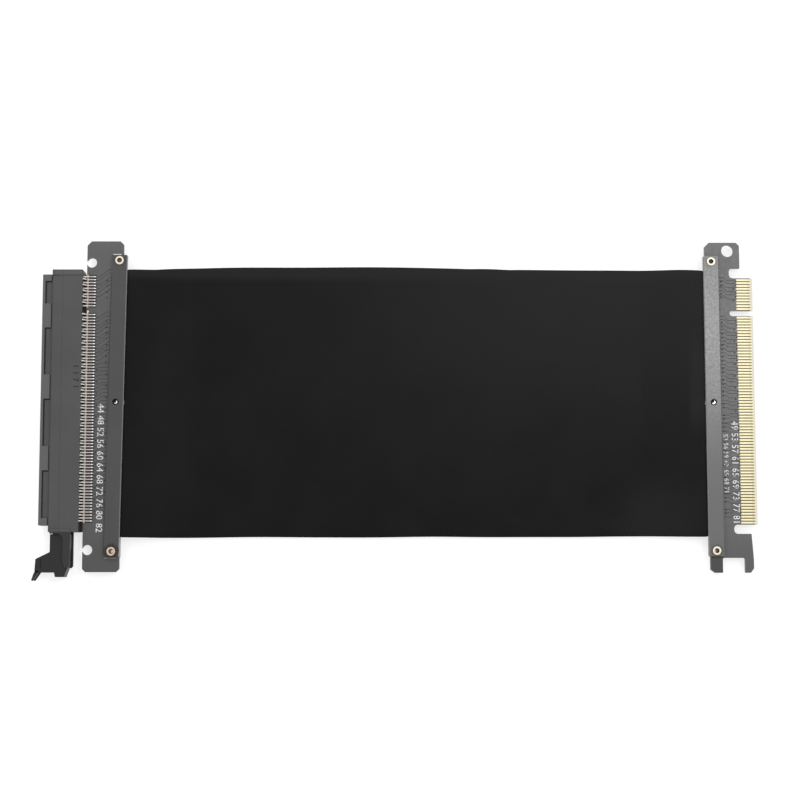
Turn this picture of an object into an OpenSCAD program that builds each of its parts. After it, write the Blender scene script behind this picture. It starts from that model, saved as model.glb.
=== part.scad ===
// Flexible riser card for a sixteen-lane expansion slot, lying flat. A slot connector on its
// board and an edge plug board are joined by flat cables in one black wrap.
// X runs from the socket to the plug, Y along the contact rows, Z up from the rest surface.

/* [Contact rows] */
// Contacts on one face of the edge
contact_count = 82; // [80:1:84]
// Contacts before the key
count_before_key = 11; // [9:1:13]
// Distance from one contact to the next
contact_pitch = 1.0; // [0.97:0.01:1.02]
// Pitches between the two contacts beside the key
key_pitch_count = 3; // [3:1:4]
// Place of the socket's row along the board
socket_row_y = 2.4; // [1.5:0.1:2.8]
// Place of the plug's row along the board
plug_row_y = 1.65; // [1:0.05:2]
// Width of the key wall in the socket
key_wall = 1.7; // [1.4:0.05:1.75]
// Clearance round the card edge in the slot, each side
card_gap = 0.1; // [0.08:0.01:0.2]

/* [Boards] */
// Thickness of both boards
board_t = 1.6; // [1.5:0.05:1.7]
// Board left past each end of a clamp bar
board_end = 5.0; // [4.6:0.1:8]
// Width of the socket board
socket_board_w = 12.35; // [12:0.05:14]
// Width of the plug board at its lower shoulder
plug_board_w = 14.0; // [13.6:0.1:15]
// Width of the plug board's upper tab
plug_tab_w = 11.9; // [11.5:0.1:13]
// Large corner cut
corner_cut = 1.5; // [1:0.1:2]
// Small corner cut
small_cut = 1.1; // [0.6:0.1:1.4]
// Thickness of the plated copper
copper_t = 0.05; // [0.03:0.01:0.1]

/* [Edge plug] */
// How far the tongue reaches past the lower shoulder
tongue_reach = 2.2; // [2:0.05:2.6]
// Depth of the notches beside the tongue
tongue_depth = 8.0; // [7.6:0.1:8.4]
// Tongue past the last contact's centre
tongue_margin = 0.65; // [0.5:0.05:0.8]
// Width of the notch above the tongue
upper_notch_w = 3.5; // [3:0.1:4]
// Width of the notch below the tongue
lower_notch_w = 3.1; // [2.8:0.1:4]
// Width of the key notch
key_notch_w = 1.9; // [1.85:0.01:2]
// Corner radius at the bottom of the two end notches
notch_r = 1.3; // [0.8:0.1:1.4]
// Width of one finger
finger_w = 0.7; // [0.6:0.02:0.75]
// Length of one finger
finger_len = 4.6; // [4.2:0.1:5]
// Length of the bare bevel at the tip
bevel_len = 0.8; // [0.6:0.1:1.2]
// Depth of the bevel at the tip, each face
bevel_depth = 0.3; // [0.2:0.05:0.5]
// Length of the two legs at the lower end
leg_len = 5.0; // [4:0.05:5.5]
// How far the legs reach past the boards' common length
leg_more = 0.5; // [0:0.1:1]
// How far the hooked leg's outer edge leans out
hook_flare = 0.6; // [0:0.1:1]
// Width of the leg on the cable side
clamp_leg_w = 4.1; // [3.5:0.1:5]
// Width of the hooked leg on the plug side
hook_leg_w = 2.9; // [2.4:0.1:3.6]
// Corner radius between the legs
leg_r = 0.6; // [0.3:0.1:1]

/* [Fixing holes] */
// Radius of the socket board's two edge holes
socket_hole_r = 1.7; // [1.6:0.05:1.8]
// Distance of the socket board's holes from its socket-side edge
socket_hole_in = 1.6; // [1.5:0.05:1.62]
// Distance of the socket board's holes from the board's ends
socket_hole_end = 7.4; // [7:0.1:7.8]
// Radius of the plug board's hole
plug_hole_r = 2.1; // [1.8:0.05:2.2]
// Distance of the plug board's hole from its cable-side edge
plug_hole_in = 7.85; // [7.6:0.05:8]
// Distance of the plug board's hole from its upper end
plug_hole_down = 2.85; // [2.8:0.05:3.2]

/* [Clamp bars] */
// Bar left past a rivet's centre
clamp_end = 1.9; // [1.8:0.1:3]
// Width of a clamp bar
clamp_w = 5.3; // [5:0.1:5.6]
// Thickness of a clamp bar over the cable
clamp_t = 1.2; // [0.9:0.05:1.5]
// Corner radius of a clamp bar
clamp_r = 0.4; // [0.2:0.1:0.8]
// Break along the long edges of a clamp bar's outer face
edge_break = 0.2; // [0.1:0.05:0.3]
// How far the upper bars hang past the board on the cable side
clamp_overhang = 0.85; // [0.4:0.05:1.2]
// Turn of the socket end's bars on their board, degrees
clamp_skew = -0.8; // [-1:0.1:0]
// Distance of a rivet's centre from the cable's edge
rivet_side = 3.85; // [3.7:0.05:5]
// Gap between the cable's edges and the hollow under a bar
hollow_gap = 0.3; // [0.2:0.05:0.5]
// Radius of a rivet's rolled rim
rivet_rim_r = 1.55; // [1.4:0.05:1.65]
// Radius of a rivet's barrel
rivet_barrel_r = 0.95; // [0.85:0.05:1]
// Radius of a rivet's bore
rivet_bore_r = 0.65; // [0.5:0.05:0.7]
// Height of a rivet's rim
rivet_rim_t = 0.3; // [0.2:0.05:0.4]
// Radius of the locating pin
pin_r = 0.75; // [0.6:0.05:0.8]
// Radius of the bars' hole over the pin
pin_window_r = 1.1; // [1.0:0.05:1.2]
// How far the pin's ends lie below the bars' faces
pin_sink = 0.25; // [0.1:0.05:0.4]
// Chamfer at the pin's ends
pin_chamfer = 0.2; // [0.1:0.05:0.3]
// Radius of the small notch in the socket board's edge
edge_notch_r = 0.55; // [0.4:0.05:0.7]
// Distance of the small notch below the key
edge_notch_drop = 0.4; // [0:0.1:1]

/* [Socket housing] */
// Housing past the first contact's centre
housing_top = 2.0; // [1.9:0.1:3]
// Housing past the last contact's centre
housing_bottom = 3.7; // [3.4:0.1:4.5]
// Depth of the housing from its mouth to its back
housing_depth = 13.5; // [13:0.1:14]
// Thickness of the housing at its upper end's lip
housing_t = 7.8; // [7.6:0.1:8.2]
// How far the housing's wide faces lie below the lip
face_drop = 0.2; // [0.1:0.05:0.3]
// How far the wide face slopes in towards the mouth
face_slope = 0.25; // [0.1:0.05:0.35]
// Where the slope begins, from the mouth
slope_end = 6.9; // [6:0.1:8]
// Width of the raised lip at the upper end
end_lip = 1.85; // [1.4:0.05:2.2]
// Depth of the stepped rim at the mouth
rim_depth = 3.4; // [3:0.1:3.7]
// Thickness over both rims
rim_t = 5.8; // [5.6:0.1:6.2]
// Rim past the first contact's centre
rim_top = 0.45; // [0.4:0.05:1.2]
// Rim past the last contact's centre
rim_bottom = 1.5; // [1.2:0.1:2]
// Depth of the windows in the rim's faces
window_sink = 0.5; // [0.3:0.05:0.7]
// Width of the deep slot along two edges of a window
window_slot_w = 0.45; // [0.3:0.05:0.6]
// Depth of that slot, from the rim's face
window_slot_depth = 1.2; // [0.9:0.05:1.3]
// Rim left at the mouth edge of a window
window_lip = 0.9; // [0.6:0.1:1.2]
// Wall behind a window's slot, and between its end and the groove
window_wall = 0.4; // [0.3:0.05:0.5]
// Rim above the first window
window_top = 2.2; // [1.5:0.1:3]
// Rim below the last window
window_bottom = 2.4; // [1.5:0.1:3]
// Length of a block between two windows
block_len = 8.2; // [7:0.1:9]
// First block's middle below the first contact
block_1_down = 13.6; // [12:0.1:16]
// Distance between the blocks' middles
block_pitch = 24.2; // [22:0.1:26]
// Width of the groove between the rim and the faces behind it
rim_groove_w = 0.45; // [0.2:0.05:0.5]
// Depth of that groove
rim_groove_depth = 0.5; // [0.2:0.05:0.6]
// Depth of the slot for the card
slot_depth = 8.7; // [8.5:0.1:9]
// Width of the lead-in at the mouth, each side
lead_in = 0.6; // [0.4:0.05:0.8]
// Thickness of the rib behind the housing that the board's edge meets
rib_t = 1.2; // [0.8:0.05:1.25]
// Gap between the housing and its board
board_gap = 1.05; // [0.9:0.05:1.3]

/* [Socket contacts] */
// Width of a contact
contact_w = 0.45; // [0.4:0.01:0.5]
// Thickness of a contact's strip
contact_t = 0.2; // [0.15:0.01:0.22]
// Width of a contact's chamber
chamber_w = 0.62; // [0.6:0.01:0.7]
// Floor between the slot's face and a chamber
chamber_floor = 0.05; // [0.02:0.01:0.1]
// Wall between a chamber and the housing's face
chamber_wall = 0.65; // [0.5:0.05:0.8]
// Web between the chambers' wide part and the rim
chamber_web = 0.4; // [0.3:0.05:0.6]
// Where an outer contact's spring leaves its shank, from the mouth
spring_outer_x = 10.6; // [10:0.1:11.2]
// Where an inner contact's spring leaves its shank, from the mouth
spring_inner_x = 9.4; // [8.8:0.1:10]
// Where a spring bends, from the mouth
bend_x = 7.4; // [7:0.1:7.8]
// Height of an outer spring's bend above the middle plane
bend_outer_z = 2.2; // [2:0.05:2.4]
// Height of an inner spring's bend above the middle plane
bend_inner_z = 1.9; // [1.7:0.05:2.1]
// Where a contact touches the card, from the mouth
touch_x = 4.7; // [4.5:0.05:5]
// Length of a contact's tip past its touching point
tip_len = 0.7; // [0.5:0.05:0.8]
// How far a contact's tip stands off the card
tip_lift = 0.3; // [0.2:0.05:0.4]
// Length of a tail that leaves the housing straight
tail_straight = 0.15; // [0.05:0.05:0.3]
// Length of the foot on its pad
foot_len = 2.2; // [1.8:0.1:2.4]
// Length of a solder pad
pad_len = 2.65; // [2.5:0.05:2.8]
// Width of a solder pad
pad_w = 0.6; // [0.55:0.01:0.7]
// Bare strip between a pad and the board's edge
pad_setback = 0.6; // [0.5:0.05:0.8]

/* [Latch] */
// Distance of the latch's pivot from the mouth
pivot_x = 9.7; // [9.5:0.1:9.9]
// Distance of the latch's pivot below the housing's end
pivot_drop = 4.7; // [4.5:0.1:5]
// Radius of the latch's trunnions
trunnion_r = 0.7; // [0.6:0.05:0.75]
// Length of a trunnion
trunnion_len = 0.7; // [0.5:0.05:0.8]
// Running clearance of a trunnion in its ear, and of the latch between the ears
latch_gap = 0.05; // [0.03:0.01:0.08]
// Thickness of an ear
ear_t = 1.2; // [1.1:0.05:1.3]
// Width of an ear's arm
ear_w = 2.4; // [2.3:0.05:2.6]
// Length of an ear past the housing's end
ear_len = 12.0; // [11.6:0.1:12.4]
// Thickness of a cheek beside the thumb scoop, and of its prong
cheek_t = 1.0; // [0.8:0.05:1.1]
// How far an ear's root reaches down beside its arm
root_drop = 0.6; // [0.4:0.1:1]
// Radius between an ear's root and its arm
root_r = 2.2; // [1.5:0.1:3]
// Length of the slanted cut at the inner side of an ear's tip
tip_cut_len = 1.7; // [1:0.1:2.4]
// Width of that cut
tip_cut_w = 0.8; // [0.4:0.1:1]
// Mouth-side face of the latch and its ears, from the mouth
latch_left = 4.0; // [3.8:0.1:4.4]
// Gap between the latch's top and the housing's end
latch_top_gap = 0.75; // [0.6:0.05:1]
// How far the latch's straight side reaches below the pivot
waist_drop = 2.0; // [1.6:0.1:2.4]
// How far the thumb's outer corner lies below the pivot
thumb_top_drop = 4.3; // [4:0.1:4.8]
// How far the thumb's outer corner reaches past the mouth
thumb_reach = 0.7; // [0.4:0.1:1]
// How far the thumb end reaches below the pivot
thumb_drop = 8.8; // [8.4:0.1:9.2]
// Slant of the thumb's outer face
thumb_slant = 1.1; // [0.8:0.1:1.4]
// How far the latch's heel reaches below the pivot
heel_drop = 10.3; // [9.8:0.1:10.8]
// Length of the heel's lower face
heel_len = 3.0; // [2.4:0.1:3.4]
// Heel's inner corner, from the pivot towards the mouth
heel_in = 0.8; // [0.5:0.1:1.2]
// Slant of the heel's two sides, for each millimetre of its height
heel_slant = 0.35; // [0.2:0.05:0.5]
// How far the heel's slanted inner side reaches up from its lower face
heel_rise = 2.8; // [2:0.1:3.4]
// How far the prongs reach below the pivot
prong_drop = 11.6; // [11:0.1:12]
// How far the prongs reach past the mouth
prong_reach = 2.0; // [1.6:0.1:2.4]
// Width of a prong's tip
prong_w = 0.5; // [0.4:0.05:0.7]
// Chamfer across the thumb's end, both faces
thumb_chamfer = 0.7; // [0.4:0.1:1]
// Width of the grip groove in both faces of the thumb
grip_w = 0.35; // [0.2:0.05:0.5]
// Depth of the grip groove
grip_depth = 0.3; // [0.2:0.05:0.4]
// Distance of the grip groove from the mouth
grip_x = 0.9; // [0.6:0.1:1.2]
// Latch left behind its pivot
back_wall = 0.8; // [0.5:0.1:1]
// Radius of the thumb scoop
scoop_r = 2.1; // [1.6:0.1:2.6]
// How far the thumb scoop cuts into the thumb's outer face
scoop_depth = 1.1; // [0.8:0.1:1.4]

/* [Cable] */
// Length of cable seen between the two pairs of bars
cable_len = 197.1; // [150:0.1:400]
// Wrapped cable past the outermost contacts' centres, each side
wrap_side = 3.95; // [3.5:0.05:5]
// Place of the cable's middle along the boards
cable_y = 0.9; // [0.5:0.1:1.3]
// Thickness of the wrap
wrap_t = 0.25; // [0.15:0.05:0.35]
// Thickness of one flat cable
flat_t = 0.6; // [0.5:0.05:0.7]
// Flat cables side by side on one face
flat_count = 6; // [4:2:8]
// Gap between flat cables side by side
flat_gap = 0.3; // [0.2:0.05:0.5]
// Gap between the middle pair, where the pins pass
pin_channel = 1.8; // [1.5:0.1:2]
// Length over which the cable comes down from the socket board
socket_fall = 26; // [20:1:40]
// Length over which the cable comes down from the plug board
plug_fall = 22; // [18:1:40]
// How far the flat cables reach in over their board
cable_overlap = 2.6; // [2:0.1:3]
// Length of cable that stays straight past the bars
cable_straight = 0.6; // [0.4:0.1:2]

/* [Hidden] */
$fn = 48;
past = 1;                       // how far a cut runs past the face that it opens
fit = 0.05;                     // radial clearance of rivets and pins in their holes

// the contact row, about its own middle
row_span = (contact_count - 1 + key_pitch_count - 1) * contact_pitch;
key_y = row_span / 2 - (count_before_key - 1 + key_pitch_count / 2) * contact_pitch;
row = [for (i = [0 : contact_count - 1])
    row_span / 2 - i * contact_pitch
    - (i < count_before_key ? 0 : (key_pitch_count - 1) * contact_pitch)];
tongue_half = row_span / 2 + tongue_margin;
slot_half = tongue_half + card_gap;
slot_t = board_t + 2 * card_gap;

// lengths across the cable, each from the one before: row, wrap, rivets, bars, boards
wrap_w = row_span + 2 * wrap_side;
rivet_span = wrap_w + 2 * rivet_side;
clamp_len = rivet_span + 2 * clamp_end;
board_len = clamp_len + 2 * board_end;
socket_hole_span = board_len - 2 * socket_hole_end;

// the housing and its rim, from the row's middle
housing_up = row_span / 2 + housing_top;
housing_down = row_span / 2 + housing_bottom;
rim_up = row_span / 2 + rim_top;
rim_down = row_span / 2 + rim_bottom;
blocks = [for (i = [0 : 2]) row_span / 2 - block_1_down - i * block_pitch];
chamber_in = slot_t / 2 + chamber_floor;
chamber_out = housing_t / 2 - face_drop - chamber_wall;

// heights above the rest surface
socket_z = housing_t / 2;
stack_t = board_t / 2 + flat_t + clamp_t;       // middle of a board to a bar's outer face
plug_z = stack_t + rivet_rim_t;
cable_half_t = flat_t + wrap_t;                 // middle of the cable to its outer face
cable_z = cable_half_t;

// places along X: the latch's prongs and the plug's tip are the two ends of the object
board_x = housing_depth + board_gap;            // socket board's near edge, from the mouth
socket_edge = board_x + socket_board_w;         // socket board's cable-side edge
clamp_x = socket_edge + clamp_overhang - clamp_w / 2;
plug_clamp_x = clamp_w / 2 - clamp_overhang;    // from the plug board's cable-side edge
skew_reach = (clamp_len / 2) * sin(abs(clamp_skew));
plug_from_mouth = socket_edge + cable_len + 2 * clamp_overhang;
tongue_tip = plug_board_w + tongue_reach;
mouth_x = -(plug_from_mouth + tongue_tip - prong_reach) / 2;
plug_x = mouth_x + plug_from_mouth;

// the latch
pivot_y = -housing_down - pivot_drop;
ear_end = -housing_down - ear_len;
ear_in = housing_t / 2 - ear_t;                 // inner face of an ear
latch_half = ear_in - latch_gap;                // the part of the latch between the ears
arm_x = pivot_x - ear_w / 2;                    // mouth-side face of an ear's arm
latch_top = -housing_down - latch_top_gap;

// the origin lies midway between the boards' upper ends and the prongs' lower ends
middle_y = -(board_len / 2 + socket_row_y + pivot_y - prong_drop) / 2;

// widths across the cable
flats_w = wrap_w - 2 * wrap_t;
flat_w = (flats_w - pin_channel - (flat_count - 2) * flat_gap) / flat_count;

// ---------------------------------------------------------------- frames and small helpers

module at_socket() { translate([mouth_x, middle_y, socket_z]) children(); }

module at_socket_row() { at_socket() translate([0, socket_row_y, 0]) children(); }

module at_plug() { translate([plug_x, middle_y, plug_z]) children(); }

module at_plug_row() { at_plug() translate([0, plug_row_y, 0]) children(); }

module at_socket_clamp() { translate([clamp_x, 0, 0]) rotate(clamp_skew) children(); }

module at_plug_clamp() { translate([plug_clamp_x, 0, 0]) children(); }

// an outline in X and Z, drawn out along Y from one place to another
module along_y(y0, y1) {
    translate([0, y1, 0]) rotate([90, 0, 0]) linear_extrude(y1 - y0) children();
}

// an outline in Y and Z, drawn out along X from one place to another
module along_x(x0, x1) {
    translate([x0, 0, 0]) rotate([90, 0, 90]) linear_extrude(x1 - x0) children();
}

// a centred plate from an outline
module plate(t) { translate([0, 0, -t / 2]) linear_extrude(t) children(); }

// a rectangle between two corners
module patch(x0, y0, x1, y1) { translate([x0, y0]) square([x1 - x0, y1 - y0]); }

// a block between two corners
module block(a, b) { translate(a) cube(b - a); }

// a triangle that takes a corner off, with its legs along X and Y
module corner(x, y, dx, dy) { polygon([[x, y], [x + dx, y], [x, y + dy]]); }

// a notch that comes in from the right and ends in two round corners
module notch(x_in, x_out, y0, y1, r) {
    patch(x_in + r, y0, x_out, y1);
    patch(x_in, y0 + r, x_in + r + past / 10, y1 - r);
    translate([x_in + r, y0 + r]) circle(r);
    translate([x_in + r, y1 - r]) circle(r);
}

// direction square to a path at one of its points, long enough to keep the strip's thickness
function unit(v) = v / norm(v);
function square_to(v) = [-v[1], v[0]];
function way(path, i) = unit(path[i + 1] - path[i]);
function side(path, i) =
    i == 0 ? square_to(way(path, 0)) :
    i == len(path) - 1 ? square_to(way(path, i - 1)) :
    let (a = square_to(way(path, i - 1)), b = square_to(way(path, i)))
    (a + b) / (1 + a * b);

// the outline of a strip bent along a path
function strip(path, t) = concat(
    [for (i = [0 : len(path) - 1]) path[i] + side(path, i) * t / 2],
    [for (i = [len(path) - 1 : -1 : 0]) path[i] - side(path, i) * t / 2]
);

// ---------------------------------------------------------------- socket end

// the slot, its lead-in and, left standing in it, the key wall
module card_slot() {
    difference() {
        union() {
            block([-past, -slot_half, -slot_t / 2], [slot_depth, slot_half, slot_t / 2]);
            along_y(-slot_half, slot_half) polygon([
                [-0.01, -slot_t / 2 - lead_in],
                [lead_in, -slot_t / 2],
                [lead_in, slot_t / 2],
                [-0.01, slot_t / 2 + lead_in]
            ]);
        }
        block([lead_in, key_y - key_wall / 2, -housing_t],
              [slot_depth + past, key_y + key_wall / 2, housing_t]);
    }
}

// one comb of contact chambers, as an outline in Y and Z
module comb(z0, z1) {
    for (y = row)
        patch(y - chamber_w / 2, z0, y + chamber_w / 2, z1);
}

module chambers() {
    wide_x = rim_depth + chamber_web;           // where the chambers widen behind the rim
    rim_chamber = rim_t / 2 - window_slot_depth - window_wall;
    for (s = [-1, 1]) scale([1, 1, s]) {
        along_x(slot_depth - past, housing_depth + past) comb(chamber_in, chamber_out);
        along_x(wide_x, slot_depth) comb(0, chamber_out);
        along_x(window_lip, wide_x + 0.01) comb(0, rim_chamber);
    }
}

// half of the housing's section behind the rim, as an outline in X and Z
module face_section() {
    face = housing_t / 2 - face_drop;
    polygon([
        [rim_depth, -face + face_slope], [slope_end, -face], [housing_depth, -face],
        [housing_depth, face], [slope_end, face], [rim_depth, face - face_slope]
    ]);
}

// windows sunk into one face of the rim, between the blocks, with a slot along two edges of each
module rim_windows() {
    edges = concat([rim_up - window_top],
                   [for (b = blocks) each [b + block_len / 2, b - block_len / 2]],
                   [-rim_down + window_bottom]);
    for (i = [0 : 2 : len(edges) - 1]) {
        block([window_lip, edges[i + 1], rim_t / 2 - window_sink],
              [rim_depth, edges[i], housing_t]);
        block([window_lip, edges[i + 1], rim_t / 2 - window_slot_depth],
              [window_lip + window_slot_w, edges[i], housing_t]);
        block([window_lip, edges[i] - window_slot_w, rim_t / 2 - window_slot_depth],
              [rim_depth - window_wall, edges[i], housing_t]);
    }
    block([rim_depth - rim_groove_w, -rim_down - past, rim_t / 2 - rim_groove_depth],
          [rim_depth, rim_up + past, housing_t]);
}

// outline of an ear that carries the latch: a root, an arm and the curve between them
module ear_outline() {
    root_y = -housing_down - root_drop;
    difference() {
        union() {
            patch(latch_left, root_y, arm_x + ear_w, -housing_down + past);
            patch(arm_x, ear_end, arm_x + ear_w, -housing_down);
            difference() {
                patch(arm_x - root_r, root_y - root_r, arm_x + past / 2, root_y + past / 10);
                translate([arm_x - root_r, root_y - root_r]) circle(root_r);
            }
        }
        corner(arm_x + ear_w + 0.01, ear_end - 0.01, -ear_w / 4, ear_w / 4);
        corner(arm_x - 0.01, ear_end - 0.01, tip_cut_w, tip_cut_len);
    }
}

module socket_housing() {
    color([0.33, 0.33, 0.33]) at_socket_row() difference() {
        union() {
            along_y(-housing_down, housing_up) face_section();
            block([rim_depth, housing_up - end_lip, -housing_t / 2],
                  [housing_depth, housing_up, housing_t / 2]);
            block([0, -rim_down, -rim_t / 2], [rim_depth + past, rim_up, rim_t / 2]);
            block([slot_depth + past, -housing_down, -rib_t / 2],
                  [board_x - fit, tongue_half, rib_t / 2]);
            for (s = [-1, 1]) scale([1, 1, s])
                translate([0, 0, ear_in]) linear_extrude(ear_t) ear_outline();
        }
        card_slot();
        chambers();
        for (s = [-1, 1]) scale([1, 1, s]) rim_windows();
        translate([pivot_x, pivot_y, 0])
            cylinder(r = trunnion_r + latch_gap, h = 2 * (ear_in + trunnion_len + latch_gap),
                     center = true);
    }
}

// the thumb, from its lower corner round its outer corner to the latch's waist
thumb_y = pivot_y - thumb_drop;
thumb_foot = [thumb_slant - thumb_reach, thumb_y];
thumb_corner = [-thumb_reach, pivot_y - thumb_top_drop];
waist = [latch_left, pivot_y - waist_drop];
heel_y = pivot_y - heel_drop;
heel_x1 = pivot_x - heel_in;
heel_x0 = heel_x1 - heel_len;
latch_back = pivot_x + back_wall;

// outline of the latch, whose thumb is given by the points after its foot
module latch_outline(thumb) {
    polygon(concat([
        [latch_left, latch_top], [latch_back, latch_top], [latch_back, pivot_y],
        [heel_x1 + heel_rise * heel_slant, heel_y + heel_rise],
        [heel_x1, heel_y], [heel_x0, heel_y], [heel_x0 - heel_slant, thumb_y], thumb_foot
    ], thumb, [thumb_corner, waist]));
}

// outline of a cheek, which ends in a slim prong
module cheek_outline() {
    tip_y = pivot_y - prong_drop;
    latch_outline([
        [prong_w - prong_reach, tip_y], [-prong_reach, tip_y + prong_w / 2],
        [-thumb_reach - prong_w / 2, thumb_y + prong_w]
    ]);
}

// outline between the cheeks, with the thumb scoop
module web_outline() {
    difference() {
        latch_outline([]);
        translate((thumb_foot + thumb_corner) / 2 - [scoop_r - scoop_depth, 0]) circle(scoop_r);
    }
}

// what the thumb's chamfer and grip groove take off one face
module thumb_cuts() {
    along_x(-prong_reach - past, heel_x0 - heel_slant)
        corner(thumb_y - 0.01, latch_half + 0.01, thumb_chamfer, -thumb_chamfer);
    block([grip_x, thumb_y + 2 * thumb_chamfer, latch_half - grip_depth],
          [grip_x + grip_w, pivot_y - thumb_top_drop, latch_half + past]);
}

module socket_latch() {
    color([0.2, 0.2, 0.2]) at_socket_row() {
        plate(2 * (latch_half - cheek_t) + 0.02) web_outline();
        for (s = [-1, 1]) scale([1, 1, s]) {
            difference() {
                translate([0, 0, latch_half - cheek_t]) linear_extrude(cheek_t) cheek_outline();
                thumb_cuts();
            }
            translate([pivot_x, pivot_y, 0]) cylinder(r = trunnion_r, h = ear_in + trunnion_len);
        }
    }
}

// the bent strip of one contact: foot on the pad, tail, shank, spring and tip
function contact_path(outer) =
    let (foot_z = board_t / 2 + copper_t + contact_t / 2,
         shank_z = outer ? chamber_out - contact_t / 2 : chamber_in + contact_t / 2,
         foot_x = board_x + pad_setback / 2,
         touch_z = board_t / 2 + contact_t / 2)
    [
        [foot_x + foot_len, foot_z], [foot_x, foot_z],
        [housing_depth + tail_straight, shank_z], [outer ? spring_outer_x : spring_inner_x, shank_z],
        [bend_x, outer ? bend_outer_z : bend_inner_z],
        [touch_x, touch_z], [touch_x - tip_len, touch_z + tip_lift]
    ];

module contact_row() {
    at_socket_row() for (i = [0 : contact_count - 1])
        along_y(row[i] - contact_w / 2, row[i] + contact_w / 2)
            polygon(strip(contact_path(i % 2 == 1), contact_t));
}

module socket_contacts_upper() { color([0.86, 0.83, 0.78]) contact_row(); }

module socket_contacts_lower() {
    color([0.86, 0.83, 0.78]) translate([0, 0, 2 * socket_z]) mirror([0, 0, 1]) contact_row();
}

module socket_pad_row() {
    x0 = board_x + pad_setback;
    at_socket_row() for (y = row)
        block([x0, y - pad_w / 2, board_t / 2], [x0 + pad_len, y + pad_w / 2, board_t / 2 + copper_t]);
}

module socket_pads_upper() { color([0.82, 0.82, 0.82]) socket_pad_row(); }

module socket_pads_lower() {
    color([0.82, 0.82, 0.82]) translate([0, 0, 2 * socket_z]) mirror([0, 0, 1]) socket_pad_row();
}

// holes of the rivets and the pin through a board, in the clamp's own frame
module clamp_holes() {
    for (s = [-1, 1]) translate([0, s * rivet_span / 2]) circle(rivet_barrel_r + fit);
    translate([0, cable_y]) circle(pin_r + fit / 2);
}

module socket_board_outline() {
    half = board_len / 2;
    difference() {
        patch(board_x, -half, socket_edge, half);
        corner(board_x - 0.01, half + 0.01, corner_cut, -corner_cut);
        corner(board_x - 0.01, -half - 0.01, small_cut, small_cut);
        corner(socket_edge + 0.01, half + 0.01, -small_cut, -small_cut);
        corner(socket_edge + 0.01, -half - 0.01, -small_cut, small_cut);
        for (s = [-1, 1]) translate([board_x + socket_hole_in, s * socket_hole_span / 2])
            circle(socket_hole_r);
        translate([board_x, socket_row_y + key_y - edge_notch_drop]) {
            patch(-past, -edge_notch_r, edge_notch_r / 2, edge_notch_r);
            translate([edge_notch_r / 2, 0]) circle(edge_notch_r);
        }
        at_socket_clamp() clamp_holes();
    }
}

module socket_board() {
    color([0.36, 0.36, 0.36]) at_socket() plate(board_t) socket_board_outline();
}

// ---------------------------------------------------------------- clamps

// plan of a bar with round corners
module clamp_plan() {
    half_w = clamp_w / 2;
    half_l = clamp_len / 2;
    patch(-half_w + clamp_r, -half_l, half_w - clamp_r, half_l);
    patch(-half_w, -half_l + clamp_r, half_w, half_l - clamp_r);
    for (x = [-half_w + clamp_r, half_w - clamp_r], y = [-half_l + clamp_r, half_l - clamp_r])
        translate([x, y]) circle(clamp_r);
}

// section of a bar, with the long edges of its outer face broken
module clamp_section() {
    half_w = clamp_w / 2;
    polygon([
        [-half_w, board_t / 2], [half_w, board_t / 2], [half_w, stack_t - edge_break],
        [half_w - edge_break, stack_t], [-half_w + edge_break, stack_t],
        [-half_w, stack_t - edge_break]
    ]);
}

// one bar, drawn over the board: full depth at its ends, hollow over the cable
module clamp_bar() {
    hollow_half = wrap_w / 2 + hollow_gap;
    difference() {
        intersection() {
            along_y(-clamp_len / 2, clamp_len / 2) clamp_section();
            linear_extrude(stack_t + past) clamp_plan();
        }
        for (s = [-1, 1]) translate([0, s * rivet_span / 2, 0])
            cylinder(r = rivet_barrel_r + fit, h = stack_t + past);
        translate([0, cable_y, 0]) cylinder(r = pin_window_r, h = stack_t + past);
        block([-clamp_w, cable_y - hollow_half, 0],
              [clamp_w, cable_y + hollow_half, board_t / 2 + flat_t]);
    }
}

// a hollow rivet with both ends rolled over
module rivet() {
    mid_r = (rivet_bore_r + rivet_barrel_r) / 2;
    roll = rivet_rim_t / 2;
    rotate_extrude() {
        patch(rivet_bore_r, -stack_t - roll, rivet_barrel_r, stack_t + roll);
        for (s = [-1, 1]) scale([1, s]) {
            translate([0, stack_t]) patch(mid_r, 0, rivet_rim_r - roll, rivet_rim_t);
            translate([rivet_rim_r - roll, stack_t + roll]) circle(roll);
            difference() {
                patch(rivet_bore_r, stack_t, mid_r, stack_t + rivet_rim_t);
                translate([rivet_bore_r, stack_t + rivet_rim_t]) circle(roll);
            }
        }
    }
}

module locating_pin() {
    reach = stack_t - pin_sink;
    cylinder(r = pin_r, h = 2 * (reach - pin_chamfer), center = true);
    for (s = [-1, 1]) scale([1, 1, s]) translate([0, 0, reach - pin_chamfer])
        cylinder(r1 = pin_r, r2 = pin_r - pin_chamfer, h = pin_chamfer);
}

module socket_clamp_upper() {
    color([0.33, 0.33, 0.34]) at_socket() at_socket_clamp() clamp_bar();
}

// the lower bars end with their board's edge
module socket_clamp_lower() {
    color([0.33, 0.33, 0.34]) at_socket() difference() {
        at_socket_clamp() mirror([0, 0, 1]) clamp_bar();
        block([socket_edge, -board_len, -housing_t], [socket_edge + clamp_w, board_len, 0]);
    }
}

module socket_rivet(s) {
    color([0.88, 0.8, 0.62]) at_socket() at_socket_clamp()
        translate([0, s * rivet_span / 2, 0]) rivet();
}

module socket_centre_pin() {
    color([0.85, 0.85, 0.83]) at_socket() at_socket_clamp() translate([0, cable_y, 0]) locating_pin();
}

module plug_clamp_upper() {
    color([0.55, 0.55, 0.55]) at_plug() at_plug_clamp() clamp_bar();
}

module plug_clamp_lower() {
    color([0.55, 0.55, 0.55]) at_plug() difference() {
        at_plug_clamp() mirror([0, 0, 1]) clamp_bar();
        block([-clamp_w, -board_len, -housing_t], [0, board_len, 0]);
    }
}

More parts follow.
